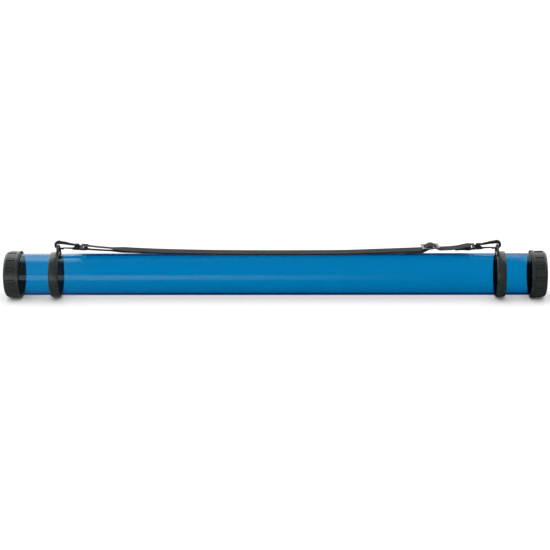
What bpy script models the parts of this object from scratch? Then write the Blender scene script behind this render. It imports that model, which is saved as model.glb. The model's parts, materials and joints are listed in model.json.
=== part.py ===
"""Transparent drawing tube with screw caps, strap collars, swivel hooks and a webbing shoulder strap.

Lengths below are in millimetres and become metres when a mesh is made. The tube lies along X on the plane
Z = 0, centred on X = 0 and Y = 0. Heights written as "above the axis" are measured from the tube's own axis.
"""

import math

import bmesh
import bpy
from mathutils import Matrix, Vector

MM = 0.001
GAP = 0.3                       # clearance between pieces that touch

# Tube and caps
CAP_END = 470.0                 # outer face of each cap
CAP_MOUTH = 442.8               # inboard face of each cap
CAP_PLATE = 2.8                 # thickness of the cap's end plate
CAP_BORE_R = 38.5
CAP_SKIRT_R = 39.8
CAP_FACE_R = 34.6               # flat end face, inside the rounded corner
CAP_CORNER_X = 5.4              # length of that corner along the cap
RIM_R = 41.3                    # the bead that the object rests on
RIM_WIDTH = 6.2
RIM_CHAMFER = 0.8
RIM_RAMP = (0.6, -0.4)          # from the skirt to the bead, either side of the bead's outer edge
RIM_SIDES = 48                  # a flat of the bead faces down, so the tube doesn't roll
RIB_COUNT = 12
RIB_TOP_R = 41.0
RIB_START = 449.8
RIB_END = 464.4
RIB_WIDTH = 4.8
RIB_SINK = 0.8                  # how deep a rib's foot sits in the skirt
RIB_BEVEL = 0.5
RIB_TURN = math.radians(3.0)      # both caps are screwed home with their ribs turned this far from the top
TUBE_R = 36.5
TUBE_WALL = 1.5
TUBE_SIDES = 96
LINER_R = 37.9
LINER_THICK = 1.6
SLEEVE_R = 37.7                 # sleeve bonded round the tube's end, inside the cap
THREAD_R = 38.2                 # its thread beads
THREAD_BEADS = (448.0, 453.0, 458.0)
THREAD_HALF_WIDTH = 0.9
SLEEVE_SIDES = 44

AXIS_H = RIM_R * math.cos(math.pi / RIM_SIDES)

# Strap collars: one moulded ring each, with an arch for the hook at its inboard edge
COLLAR_CENTRES = {"left": -382.7, "right": 391.4}
COLLAR_WIDTH = 16.2
COLLAR_R = 39.6
COLLAR_CHAMFER = 1.0
COLLAR_SIDES = 60
ARCH_FROM_CENTRE = 5.8          # the arch's plane, towards the middle from the collar's own
ARCH_R = 14.0
ARCH_BAR_R = 2.0
ARCH_BAR_SIDES = 10
ARCH_TURN = (-8.0, 188.0)       # degrees, so that both ends sink into the collar
ARCH_STEPS = 18
ARCH_BASE = 37.6                # height of the arch's centre above the axis
HOOK_SEAT = ARCH_BASE + ARCH_R  # height of the arch's top bar above the axis

# Swivel hooks, in a frame at the arch's top bar whose x runs inboard along the hook
HOOK_TILT = math.radians(3.0)   # the inboard end hangs this much lower
HOOK_THICK = 5.0
NOSE_CENTRE = (1.3, 1.7)
NOSE_R = 7.8
EYE_CENTRE = (1.0, 0.1)
EYE_R = 3.5
SPINE_TOP = ((30.3, 4.6), (20.5, 6.2), (11.5, 8.1))
SPINE_UNDER = ((10.0, 3.6), (20.0, 2.6), (30.3, 1.8))
LIP = ((5.6, -6.0), (6.0, -5.6), (6.0, -4.65), (4.0, -4.65), (3.8, -2.9))
HOOK_BEVEL = 0.6
BARREL_ROUND = 0.7
BARREL_SIDES = 32
BARREL = (28.8, 37.0)
BARREL_R = 6.0
BARREL_RECESS = (31.5, 3.3)     # depth and radius of the recess for the post's head
BARREL_BORE_R = 2.25
GATE_PIVOT = (27.2, -3.0)
GATE_PIVOT_R = 1.35
GATE_HALF_WIDTH = 1.9
# Under side, latch notch and top of the gate, from its pivot's rounding to the lip and back
GATE_OUTLINE = (
    (11.2, -2.3), (7.0, -2.85), (4.35, -2.85), (4.35, -4.3),
    (6.35, -4.35), (6.35, -6.1), (8.6, -6.1), (11.2, -4.1),
)
CHEEK_Y = (2.25, 4.0)
CHEEK_R = 1.9
CHEEK_TOP, CHEEK_FROM = -1.2, 25.7
TRUNNION_R = 0.8
TRUNNION_SHORT = 0.2            # how far the trunnion's end stays inside the cheek
TRUNNION_HOLE_R = 1.05

# The loop that turns in the hook's barrel and holds the webbing
POST_R = 1.9
POST_HEAD_R = 2.95
POST_HEAD = (29.1, 31.1)
POST_HEAD_CHAMFER = 0.6
POST_FOOT = (-0.9, 1.5, 3.4)    # start and end of the post's wide foot from the loop's edge, and its radius
BORE_SIDES = 24
LOOP = (38.3, 51.0)
LOOP_WINDOW = (43.6, 47.0)
LOOP_HALF_WIDTH = 16.3
LOOP_WINDOW_HALF_WIDTH = 13.1
LOOP_THICK = 4.0
LOOP_BEVEL = 1.5
CUT_REACH = 5.0                 # cutters stand this far out of thin pieces
LOOP_BAR = 0.5 * (LOOP_WINDOW[1] + LOOP[1])

# Webbing
WEB_WIDTH = 25.0
WEB_THICK = 1.2
WEB_BEND_R = 0.5 * LOOP_THICK + 0.5 * WEB_THICK + 0.55
# Height above the axis of the middle of the doubled webbing, and how far apart its two layers' centres are
WEB_HEIGHTS = (
    (-328.0, 48.95), (-310.0, 47.2), (-290.0, 45.7), (-265.0, 44.3), (-240.0, 43.2), (-200.0, 41.6),
    (-150.0, 40.2), (-100.0, 39.3), (-50.0, 38.8), (0.0, 38.65), (60.0, 38.65), (110.0, 38.9),
    (135.0, 39.4), (160.0, 40.25), (305.0, 45.5),
)
WEB_SPREADS = (
    (-328.0, 6.3), (-310.0, 5.3), (-290.0, 4.6), (-265.0, 3.2), (-240.0, 2.3), (-200.0, 1.9), (305.0, 1.9),
)
WEB_ROLLS = ((-325.0, 0.0), (-312.0, -15.0), (-288.0, -15.0), (-262.0, 0.0))
STRAIGHT_FROM, STRAIGHT_TO = 160.0, 305.0
# Middle line of the right end, above the axis: up to the swivel loop's bar, and the sewn tail back from it
RIGHT_TOP = ((312.0, 47.3), (320.0, 48.6), (328.0, 50.5), (333.5, 51.6))
RIGHT_TAIL = ((331.0, 46.05), (322.0, 46.3), (312.0, 45.6))
LEFT_BEND_START = 4.0           # the left end's bend starts this far from the swivel loop's bar
LEFT_SPLIT = -230.0             # the left end's piece stops here
RETURN_SPLIT = 160.0            # the return layer's middle piece stops here
RUNNING_SPLIT = 194.0           # the running layer's middle piece stops here

# Three-bar adjuster, in a frame at its middle bar whose x runs along the webbing
ADJUSTER_X = 270.0
ADJUSTER_YAW = math.radians(4.5)
ADJUSTER_HALF = (15.0, 16.3)
ADJUSTER_WINDOW = (2.0, 11.0)
ADJUSTER_WINDOW_HALF_WIDTH = 13.1
ADJUSTER_THICK = 2.0
ADJUSTER_LIFT = 2.4             # the webbing rises this much to pass through the adjuster
UNDER_BAR = 0.5 * ADJUSTER_THICK + GAP + 0.5 * WEB_THICK + ADJUSTER_LIFT
ADJUSTER_BEVEL = 0.6
STITCHED_FROM = -46.0           # the sewn loop's tail ends here
# The webbing's middle line in the adjuster: up over the middle bar, and the sewn loop round that bar
OVER_BAR = (
    (-17.0, -UNDER_BAR), (-15.0, -3.9), (-11.3, -2.2), (-10.3, -1.7), (-3.2, 3.4), (-1.5, 3.75),
    (2.2, 3.75), (3.9, 3.2), (10.3, -1.7), (11.3, -2.2), (15.0, -3.9), (17.0, -UNDER_BAR),
)
LOOP_UPPER_LEG = (
    (STITCHED_FROM, -5.9), (-17.6, -5.9), (-15.2, -5.6), (-11.4, -3.95), (-10.0, -3.35),
    (-3.4, 1.25), (-2.0, 1.9),
)
LOOP_ROUND_BAR = (1.4, 1.9)     # centre along the webbing, and radius
LOOP_LOWER_LEG = (
    (-2.2, -1.9), (-10.2, -5.15), (-11.4, -5.65), (-15.2, -7.3), (-17.6, -7.6), (STITCHED_FROM, -7.6),
)
YAW_GAP = GAP + WEB_WIDTH / 2 * math.sin(ADJUSTER_YAW)      # where a turned end meets a straight one

SIDES = {"left": -1.0, "right": 1.0}


def material(name, colour, roughness, metallic=0.0, alpha=1.0):
    """A Principled material with the piece's colour and finish."""
    made = bpy.data.materials.new(name)
    made.use_nodes = True
    shader = made.node_tree.nodes["Principled BSDF"]
    shader.inputs["Base Color"].default_value = (*colour, 1.0)
    shader.inputs["Roughness"].default_value = roughness
    shader.inputs["Metallic"].default_value = metallic
    shader.inputs["Alpha"].default_value = alpha
    made.diffuse_color = (*colour, alpha)
    return made


def finish(bm, name, look, frame=None, sharp=40.0):
    """Turns a bmesh in millimetres into an object, placed in the frame of the empty if one is given."""
    bmesh.ops.recalc_face_normals(bm, faces=bm.faces)
    bm.transform(Matrix.Scale(MM, 4))
    mesh = bpy.data.meshes.new(name)
    bm.to_mesh(mesh)
    bm.free()
    mesh.shade_smooth()
    mesh.set_sharp_from_angle(angle=math.radians(sharp))
    mesh.materials.append(look)
    piece = bpy.data.objects.new(name, mesh)
    bpy.context.scene.collection.objects.link(piece)
    piece.parent = frame
    return piece


def empty(name, matrix, parent=None):
    """An empty whose place, given in millimetres, is a joint's axis or a piece's own frame."""
    made = bpy.data.objects.new(name, None)
    bpy.context.scene.collection.objects.link(made)
    made.parent = parent
    matrix.translation = matrix.translation * MM
    made.matrix_local = matrix
    return made


def combine(piece, other, operation):
    """Joins the other shape to the piece, or cuts it out, and keeps the other as a hidden guide."""
    step = piece.modifiers.new(operation.lower(), "BOOLEAN")
    step.operation = operation
    step.solver = "EXACT"
    step.object = other
    other.hide_render = True
    other.display_type = "WIRE"


def bevel(piece, width, segments=1):
    step = piece.modifiers.new("bevel", "BEVEL")
    step.width = width * MM
    step.segments = segments
    step.limit_method = "ANGLE"
    step.angle_limit = math.radians(40.0)


def arc(centre, radius, start, end, steps):
    """Points on an arc, with angles in degrees."""
    angles = [math.radians(start + (end - start) * i / steps) for i in range(steps + 1)]
    return [(centre[0] + radius * math.cos(a), centre[1] + radius * math.sin(a)) for a in angles]


def smooth_line(points, at):
    """Height at one place on a smooth curve through the points, flat at neither end."""
    if at <= points[0][0]:
        return points[0][1]
    if at >= points[-1][0]:
        return points[-1][1]
    last = len(points) - 1
    i = max(k for k in range(last) if points[k][0] <= at)
    (x0, z0), (x1, z1) = points[i], points[i + 1]
    before, after = points[max(i - 1, 0)], points[min(i + 2, last)]
    slope0 = (z1 - before[1]) / (x1 - before[0])
    slope1 = (after[1] - z0) / (after[0] - x0)
    if (x0, x1) == (STRAIGHT_FROM, STRAIGHT_TO):
        slope0 = slope1 = (z1 - z0) / (x1 - x0)
    t = (at - x0) / (x1 - x0)
    span = x1 - x0
    return (
        (2 * t**3 - 3 * t**2 + 1) * z0 + (t**3 - 2 * t**2 + t) * span * slope0
        + (-2 * t**3 + 3 * t**2) * z1 + (t**3 - t**2) * span * slope1
    )


def lathe(profile, sides, closed=True, height=0.0):
    """Turns (x, radius) points about a line along X. An open profile starts and ends on that line."""
    bm = bmesh.new()
    turns = [2 * math.pi * (k + 0.5) / sides for k in range(sides)]
    rings = []
    for x, radius in profile:
        if radius == 0.0:
            rings.append([bm.verts.new((x, 0.0, height))])
            continue
        rings.append([bm.verts.new((x, radius * math.cos(a), height + radius * math.sin(a))) for a in turns])
    pairs = list(zip(rings, rings[1:]))
    if closed:
        pairs.append((rings[-1], rings[0]))
    for one, two in pairs:
        for k in range(sides):
            corners = [one[k % len(one)], one[(k + 1) % len(one)], two[(k + 1) % len(two)], two[k % len(two)]]
            bm.faces.new(list(dict.fromkeys(corners)))
    return bm


def prism(outline, low, high):
    """Extrudes an outline of (x, z) points from y = low to y = high."""
    bm = bmesh.new()
    near = [bm.verts.new((x, low, z)) for x, z in outline]
    far = [bm.verts.new((x, high, z)) for x, z in outline]
    bm.faces.new(near)
    bm.faces.new(reversed(far))
    for k in range(len(outline)):
        following = (k + 1) % len(outline)
        bm.faces.new((near[k], far[k], far[following], near[following]))
    return bm


def block(low, high):
    """A box between two corners."""
    bm = bmesh.new()
    size = Vector(high) - Vector(low)
    middle = (Vector(high) + Vector(low)) / 2
    bmesh.ops.create_cube(bm, size=1.0, matrix=Matrix.Translation(middle) @ Matrix.Diagonal((*size, 1.0)))
    return bm


def ribbon(path, roll=None, height=0.0):
    """Webbing along a path of (x, z) points, twisted about its middle line where a roll function is given."""
    bm = bmesh.new()
    rings = []
    for i, (x, z) in enumerate(path):
        before, after = path[max(i - 1, 0)], path[min(i + 1, len(path) - 1)]
        along = Vector((after[0] - before[0], after[1] - before[1])).normalized()
        normal = Vector((-along.y, along.x)) * 0.5 * WEB_THICK
        ring = []
        for y, side in ((-1, -1), (1, -1), (1, 1), (-1, 1)):
            point = Vector((x + side * normal.x, 0.5 * y * WEB_WIDTH, z + side * normal.y))
            if roll:
                middle = smooth_line(WEB_HEIGHTS, x)
                point.z -= middle
                point = Matrix.Rotation(roll(x), 3, "X") @ point
                point.z += middle
            point.z += height
            ring.append(bm.verts.new(point))
        rings.append(ring)
    for one, two in zip(rings, rings[1:]):
        for k in range(4):
            bm.faces.new((one[k], one[(k + 1) % 4], two[(k + 1) % 4], two[k]))
    bm.faces.new(rings[0])
    bm.faces.new(reversed(rings[-1]))
    return bm


def make_tube(look):
    """The transparent tube, open at both ends."""
    end = CAP_END - CAP_PLATE - LINER_THICK - 2 * GAP
    inner = TUBE_R - TUBE_WALL
    profile = [(-end, inner), (-end, TUBE_R), (end, TUBE_R), (end, inner)]
    finish(lathe(profile, TUBE_SIDES, height=AXIS_H), "tube", look)


def make_sleeve(side, look):
    """The threaded sleeve bonded round one end of the tube."""
    sign = SIDES[side]
    end = CAP_END - CAP_PLATE - LINER_THICK - 3 * GAP
    inner = TUBE_R + GAP
    outer = [(CAP_MOUTH + GAP, SLEEVE_R)]
    for bead in THREAD_BEADS:
        low, high = bead - THREAD_HALF_WIDTH, bead + THREAD_HALF_WIDTH
        outer += [(low, SLEEVE_R), (bead, THREAD_R), (high, SLEEVE_R)]
    outer.append((end, SLEEVE_R))
    profile = [(sign * x, r) for x, r in [*outer, (end, inner), (CAP_MOUTH + GAP, inner)]]
    finish(lathe(profile, SLEEVE_SIDES, height=AXIS_H), f"{side}_thread_sleeve", look)


def make_cap(side, look, frame):
    """A screw cap: end plate, ribbed skirt and the bead at its mouth."""
    sign = SIDES[side]
    end_corner = [
        (CAP_END - CAP_CORNER_X + CAP_CORNER_X * u, CAP_FACE_R + (CAP_SKIRT_R - CAP_FACE_R) * v)
        for u, v in arc((0.0, 0.0), 1.0, 0.0, 90.0, 4)
    ]
    rim_end = CAP_MOUTH + RIM_WIDTH
    rim = [
        (rim_end + RIM_RAMP[0], CAP_SKIRT_R), (rim_end + RIM_RAMP[1], RIM_R),
        (CAP_MOUTH + RIM_CHAMFER, RIM_R), (CAP_MOUTH, RIM_R - RIM_CHAMFER),
    ]
    inside = [(CAP_MOUTH, CAP_BORE_R), (CAP_END - CAP_PLATE, CAP_BORE_R), (CAP_END - CAP_PLATE, 0.0)]
    profile = [(CAP_END, 0.0), *end_corner, *rim, *inside]
    shape = lathe([(sign * x, r) for x, r in profile], RIM_SIDES, closed=False)
    cap = finish(shape, f"{side}_cap", look, frame)
    for k in range(RIB_COUNT):
        low_x, high_x = sorted((sign * RIB_START, sign * RIB_END))
        low = (low_x, -0.5 * RIB_WIDTH, CAP_SKIRT_R - RIB_SINK)
        high = (high_x, 0.5 * RIB_WIDTH, RIB_TOP_R)
        rib = finish(block(low, high), f"{side}_rib_{k + 1}", look, frame)
        rib.rotation_euler.x = 2 * math.pi * k / RIB_COUNT - sign * RIB_TURN
        bevel(rib, RIB_BEVEL)
        combine(cap, rib, "UNION")


def make_liner(side, look, frame):
    """The soft disc inside the cap, pressed on the tube's end."""
    sign = SIDES[side]
    outer = CAP_END - CAP_PLATE - GAP
    profile = [(outer, 0.0), (outer, LINER_R), (outer - LINER_THICK, LINER_R), (outer - LINER_THICK, 0.0)]
    shape = lathe([(sign * x, r) for x, r in profile], RIM_SIDES, closed=False)
    finish(shape, f"{side}_cap_liner", look, frame)


def make_collar(side, look):
    """A collar on the tube with the arch that its hook clips to."""
    centre = COLLAR_CENTRES[side]
    half = 0.5 * COLLAR_WIDTH
    inner = TUBE_R + GAP
    low = COLLAR_R - COLLAR_CHAMFER
    flat = half - COLLAR_CHAMFER
    profile = [(-half, inner), (-half, low), (-flat, COLLAR_R), (flat, COLLAR_R), (half, low), (half, inner)]
    ring = lathe([(centre + x, r) for x, r in profile], COLLAR_SIDES, height=AXIS_H)
    collar = finish(ring, f"{side}_strap_collar", look)
    plane = centre - SIDES[side] * ARCH_FROM_CENTRE
    bm = bmesh.new()
    rings = []
    for k in range(ARCH_STEPS + 1):
        turn = math.radians(ARCH_TURN[0] + (ARCH_TURN[1] - ARCH_TURN[0]) * k / ARCH_STEPS)
        out = Vector((0.0, math.cos(turn), math.sin(turn)))
        middle = Vector((plane, 0.0, AXIS_H + ARCH_BASE)) + out * ARCH_R
        bar = arc((0.0, 0.0), ARCH_BAR_R, 0.0, 360.0, ARCH_BAR_SIDES)[:-1]
        ring = [middle + out * v + Vector((u, 0.0, 0.0)) for u, v in bar]
        rings.append([bm.verts.new(point) for point in ring])
    for one, two in zip(rings, rings[1:]):
        for k in range(ARCH_BAR_SIDES):
            following = (k + 1) % ARCH_BAR_SIDES
            bm.faces.new((one[k], one[following], two[following], two[k]))
    bm.faces.new(rings[0])
    bm.faces.new(reversed(rings[-1]))
    combine(collar, finish(bm, f"{side}_arch", look), "UNION")


def hook_frame(side):
    """The frame of one hook: at the arch's top bar, with x running inboard along the hook."""
    place = Vector((COLLAR_CENTRES[side] - SIDES[side] * ARCH_FROM_CENTRE, 0.0, AXIS_H + HOOK_SEAT))
    about = Matrix.Rotation(0.0 if side == "left" else math.pi, 4, "Z")
    return empty(f"{side}_hook_axis", Matrix.Translation(place) @ about @ Matrix.Rotation(HOOK_TILT, 4, "Y"))


def make_hook(side, look, frame):
    """The hook's body: curled nose, spine and the barrel that the strap loop turns in."""
    nose = arc(NOSE_CENTRE, NOSE_R, 62.0, 280.0, 22)
    eye = arc(EYE_CENTRE, EYE_R, -62.0, -270.0, 14)
    half = 0.5 * HOOK_THICK
    body = prism([*SPINE_TOP, *nose, *LIP, *eye, *SPINE_UNDER], -half, half)
    hook = finish(body, f"{side}_hook_body", look, frame)
    bevel(hook, HOOK_BEVEL)
    barrel_profile = [
        (BARREL[0], 0.0), (BARREL[0], BARREL_R - BARREL_ROUND), (BARREL[0] + BARREL_ROUND, BARREL_R),
        (BARREL[1] - BARREL_ROUND, BARREL_R), (BARREL[1], BARREL_R - BARREL_ROUND), (BARREL[1], 0.0),
    ]
    barrel = finish(lathe(barrel_profile, BARREL_SIDES, closed=False), f"{side}_barrel", look, frame)
    combine(hook, barrel, "UNION")
    into_barrel = BARREL[0] + 1.0
    cheek_end = arc(GATE_PIVOT, CHEEK_R, 150.0, 270.0, 5)
    for sign in (-1.0, 1.0):
        bottom = GATE_PIVOT[1] - CHEEK_R
        outline = [(into_barrel, CHEEK_TOP), (CHEEK_FROM, CHEEK_TOP), *cheek_end, (into_barrel, bottom)]
        low, high = sorted((sign * CHEEK_Y[0], sign * CHEEK_Y[1]))
        name = f"{side}_cheek_{'near' if sign < 0 else 'far'}"
        cheek = finish(prism(outline, low, high), name, look, frame)
        combine(hook, cheek, "UNION")
    depth, recess_r = BARREL_RECESS
    bore_profile = [
        (BARREL[0] - 1.0, 0.0), (BARREL[0] - 1.0, recess_r), (depth, recess_r), (depth, BARREL_BORE_R),
        (BARREL[1] + 1.0, BARREL_BORE_R), (BARREL[1] + 1.0, 0.0),
    ]
    bore = finish(lathe(bore_profile, BORE_SIDES, closed=False), f"{side}_bore", look, frame)
    combine(hook, bore, "DIFFERENCE")
    outline = arc(GATE_PIVOT, TRUNNION_HOLE_R, 0.0, 337.5, 15)
    hole = finish(prism(outline, -CUT_REACH, CUT_REACH), f"{side}_trunnion_hole", look, frame)
    combine(hook, hole, "DIFFERENCE")


def make_gate(side, look, frame):
    """The sprung gate that closes the hook, on two small trunnions."""
    pivot = Vector((GATE_PIVOT[0], 0.0, GATE_PIVOT[1]))
    axis = empty(f"{side}_gate_axis", Matrix.Translation(pivot), frame)
    rounding = arc(GATE_PIVOT, GATE_PIVOT_R, -110.0, 110.0, 8)
    outline = [(x - pivot.x, z - pivot.z) for x, z in (*rounding, *GATE_OUTLINE)]
    gate = finish(prism(outline, -GATE_HALF_WIDTH, GATE_HALF_WIDTH), f"{side}_hook_gate", look, axis)
    pin = arc((0.0, 0.0), TRUNNION_R, 0.0, 330.0, 11)
    reach = CHEEK_Y[1] - TRUNNION_SHORT
    combine(gate, finish(prism(pin, -reach, reach), f"{side}_trunnions", look, axis), "UNION")


def make_swivel_loop(side, look, frame):
    """The webbing loop, whose headed post turns in the hook's barrel."""
    half = 0.5 * LOOP_THICK
    plate = block((LOOP[0], -LOOP_HALF_WIDTH, -half), (LOOP[1], LOOP_HALF_WIDTH, half))
    loop = finish(plate, f"{side}_swivel_loop", look, frame)
    low = (LOOP_WINDOW[0], -LOOP_WINDOW_HALF_WIDTH, -CUT_REACH)
    high = (LOOP_WINDOW[1], LOOP_WINDOW_HALF_WIDTH, CUT_REACH)
    combine(loop, finish(block(low, high), f"{side}_loop_window", look, frame), "DIFFERENCE")
    bevel(loop, LOOP_BEVEL, 2)
    foot_start, foot_end, foot_r = LOOP[0] + POST_FOOT[0], LOOP[0] + POST_FOOT[1], POST_FOOT[2]
    post_profile = [
        (POST_HEAD[0], 0.0), (POST_HEAD[0], POST_HEAD_R - POST_HEAD_CHAMFER),
        (POST_HEAD[0] + POST_HEAD_CHAMFER, POST_HEAD_R), (POST_HEAD[1], POST_HEAD_R), (POST_HEAD[1], POST_R),
        (foot_start, POST_R), (foot_start, foot_r), (foot_end, foot_r), (foot_end, 0.0),
    ]
    post = finish(lathe(post_profile, BORE_SIDES, closed=False), f"{side}_post", look, frame)
    combine(loop, post, "UNION")


def layer_height(x, layer):
    """Height above the axis of the upper (1) or lower (-1) layer of the doubled webbing."""
    return smooth_line(WEB_HEIGHTS, x) + 0.5 * layer * smooth_line(WEB_SPREADS, x)


def layer_path(start, end, layer, steps):
    places = [start + (end - start) * i / steps for i in range(steps + 1)]
    return [(x, layer_height(x, layer)) for x in places]


def loop_bar(side):
    """Centre, above the axis, of the swivel loop's bar that the webbing goes round."""
    seat = COLLAR_CENTRES[side] - SIDES[side] * ARCH_FROM_CENTRE
    return (seat - SIDES[side] * LOOP_BAR * math.cos(HOOK_TILT), HOOK_SEAT - LOOP_BAR * math.sin(HOOK_TILT))


def web_roll(x):
    """How far the left end of the webbing is twisted about its middle line."""
    for (x0, a0), (x1, a1) in zip(WEB_ROLLS, WEB_ROLLS[1:]):
        if x0 <= x <= x1:
            t = (x - x0) / (x1 - x0)
            return math.radians(a0 + (a1 - a0) * t * t * (3 - 2 * t))
    return 0.0


def make_strap_runs(look):
    """The webbing away from the adjuster: both ends and the two layers that lie along the tube."""
    bar = loop_bar("left")
    near_bar = bar[0] + LEFT_BEND_START
    upper = layer_path(LEFT_SPLIT - GAP, near_bar, 1, 18)
    lower = layer_path(near_bar, LEFT_SPLIT - GAP, -1, 18)
    left_end = [*upper, *arc(bar, WEB_BEND_R, 90.0, 270.0, 10), *lower]
    finish(ribbon(left_end, web_roll, AXIS_H), "strap_left_end", look)
    middle = layer_path(LEFT_SPLIT, RUNNING_SPLIT, 1, 30)
    finish(ribbon(middle, None, AXIS_H), "strap_running_layer", look)
    middle = layer_path(LEFT_SPLIT, RETURN_SPLIT, -1, 28)
    finish(ribbon(middle, None, AXIS_H), "strap_return_layer", look)
    bar = loop_bar("right")
    start = (STRAIGHT_TO + GAP, layer_height(STRAIGHT_TO + GAP, 1))
    right_end = [start, *RIGHT_TOP, *arc(bar, WEB_BEND_R, 95.0, -90.0, 10), *RIGHT_TAIL]
    finish(ribbon(right_end, None, AXIS_H), "strap_right_end", look)


def adjuster_frame():
    """The frame of the adjuster: on its middle bar, with x along the straight part of the webbing."""
    rise = layer_height(STRAIGHT_TO, 1) - layer_height(STRAIGHT_FROM, 1)
    slope = math.atan2(rise, STRAIGHT_TO - STRAIGHT_FROM)
    place = Vector((ADJUSTER_X, 0.0, AXIS_H + layer_height(ADJUSTER_X, 1) + UNDER_BAR / math.cos(slope)))
    turn = Matrix.Rotation(-slope, 4, "Y") @ Matrix.Rotation(ADJUSTER_YAW, 4, "Z")
    return empty("adjuster_axis", Matrix.Translation(place) @ turn)


def make_adjuster(metal, web):
    """The three-bar adjuster with the webbing that is held in it, and the layers that lead up to it."""
    frame = adjuster_frame()
    half = 0.5 * ADJUSTER_THICK
    length, width = ADJUSTER_HALF
    adjuster = finish(block((-length, -width, -half), (length, width, half)), "strap_adjuster", metal, frame)
    bevel(adjuster, ADJUSTER_BEVEL, 2)
    for name, sign in (("left", -1.0), ("right", 1.0)):
        low_x, high_x = sorted((sign * ADJUSTER_WINDOW[0], sign * ADJUSTER_WINDOW[1]))
        low = (low_x, -ADJUSTER_WINDOW_HALF_WIDTH, -CUT_REACH)
        high = (high_x, ADJUSTER_WINDOW_HALF_WIDTH, CUT_REACH)
        combine(adjuster, finish(block(low, high), f"adjuster_window_{name}", metal, frame), "DIFFERENCE")
    finish(ribbon(OVER_BAR), "strap_over_adjuster", web, frame)
    bend = arc((LOOP_ROUND_BAR[0], 0.0), LOOP_ROUND_BAR[1], 90.0, -90.0, 8)
    finish(ribbon([*LOOP_UPPER_LEG, *bend, *LOOP_LOWER_LEG]), "strap_sewn_loop", web, frame)
    reach = OVER_BAR[-1][0] + YAW_GAP
    running = layer_path(RUNNING_SPLIT + GAP, ADJUSTER_X - reach, 1, 4)
    finish(ribbon(running, None, AXIS_H), "strap_running_to_adjuster", web)
    running = layer_path(ADJUSTER_X + reach, STRAIGHT_TO, 1, 2)
    finish(ribbon(running, None, AXIS_H), "strap_running_from_adjuster", web)
    returning = layer_path(RETURN_SPLIT + GAP, ADJUSTER_X + STITCHED_FROM - YAW_GAP, -1, 4)
    finish(ribbon(returning, None, AXIS_H), "strap_return_to_adjuster", web)


def main():
    for old in list(bpy.data.objects):
        bpy.data.objects.remove(old)
    clear_blue = material("clear_blue", (0.0, 0.18, 0.42), 0.08, alpha=0.5)
    black = material("black_plastic", (0.035, 0.04, 0.038), 0.45)
    liner_grey = material("liner_foam", (0.30, 0.30, 0.30), 0.9)
    webbing = material("webbing", (0.03, 0.033, 0.032), 0.85)
    nickel = material("nickel", (0.62, 0.62, 0.61), 0.3, metallic=1.0)
    make_tube(clear_blue)
    axis = Matrix.Translation(Vector((0.0, 0.0, AXIS_H)))
    for side in SIDES:
        cap_axis = empty(f"{side}_cap_axis", axis.copy())
        make_sleeve(side, black)
        make_liner(side, liner_grey, cap_axis)
        make_cap(side, black, cap_axis)
        make_collar(side, black)
        frame = hook_frame(side)
        make_hook(side, black, frame)
        make_gate(side, black, frame)
        make_swivel_loop(side, black, frame)
    make_strap_runs(webbing)
    make_adjuster(nickel, webbing)


main()
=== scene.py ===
"""Looks of the drawing tube: clear blue tube, black mouldings, woven strap and plated adjuster.

Outlines are in millimetres and become metres when a mesh is made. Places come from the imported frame.
"""

import json
import math

import bmesh
import bpy
from mathutils import Matrix, Vector


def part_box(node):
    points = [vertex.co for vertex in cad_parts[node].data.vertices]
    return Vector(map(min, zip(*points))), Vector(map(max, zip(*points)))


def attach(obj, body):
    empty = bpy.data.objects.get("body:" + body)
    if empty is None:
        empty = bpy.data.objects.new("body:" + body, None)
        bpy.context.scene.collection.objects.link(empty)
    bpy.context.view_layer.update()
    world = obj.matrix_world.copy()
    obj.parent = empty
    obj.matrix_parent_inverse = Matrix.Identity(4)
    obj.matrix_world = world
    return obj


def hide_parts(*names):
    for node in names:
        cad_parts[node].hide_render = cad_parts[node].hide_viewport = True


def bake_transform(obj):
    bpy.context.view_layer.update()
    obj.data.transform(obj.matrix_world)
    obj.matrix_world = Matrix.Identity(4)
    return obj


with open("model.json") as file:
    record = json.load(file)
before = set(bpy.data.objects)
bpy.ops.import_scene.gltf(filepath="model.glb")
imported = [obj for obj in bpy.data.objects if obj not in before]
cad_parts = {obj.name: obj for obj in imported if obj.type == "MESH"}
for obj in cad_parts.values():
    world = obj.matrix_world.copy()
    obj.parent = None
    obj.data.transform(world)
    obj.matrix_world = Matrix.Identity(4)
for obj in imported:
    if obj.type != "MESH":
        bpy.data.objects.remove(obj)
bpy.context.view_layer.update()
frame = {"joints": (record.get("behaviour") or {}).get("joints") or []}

MM = 0.001
JOINTS = {joint["name"]: joint for joint in frame["joints"]}
SIDES = {"left": -1.0, "right": 1.0}


def span(node, axis):
    """Lowest and highest coordinate of a CAD node along one axis, in millimetres."""
    low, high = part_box(node)
    return low[axis] / MM, high[axis] / MM


# -------------------------------- dimensions, in millimetres
GAP = 0.3  # what touching pieces keep between them
CUT = 5.0  # half height of a shape that cuts right through
TUBE_R = 36.5
TUBE_WALL = 1.5
TUBE_LIP = 0.4  # rounding of the tube's cut ends
TUBE_SIDES = 192
TUBE_END = span("tube", 0)[1]
AXIS_H = sum(span("tube", 2)) / 2

CAP_END = span("right_cap", 0)[1]
CAP_MOUTH = span("right_cap", 0)[0]
CAP_PLATE = 2.8
CAP_BORE_R = 38.5
CAP_SKIRT_R = 39.8
CAP_FACE_R = 34.6
CAP_CORNER_X = 5.4
CAP_INNER_CORNER = 0.8
CAP_GROOVE = (26.0, 27.2, 0.35)  # inner and outer radius and depth of the ring moulded in the end face
RIM_R = 41.3
RIM_WIDTH = 6.2
RIM_ROUND = 0.7
RIB_COUNT = 12
RIB_TOP_R = 41.0
RIB_SPAN = (449.8, 464.4)
RIB_HALF = 2.4
RIB_EDGE = 0.4  # how far a rib's sides are rounded
RIB_GROOVE = (1.3, 0.9)  # width and depth of the groove along each side of a rib
RIB_TURN = math.radians(3.0)
FACE_STEPS = 7  # steps between two ribs

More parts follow.
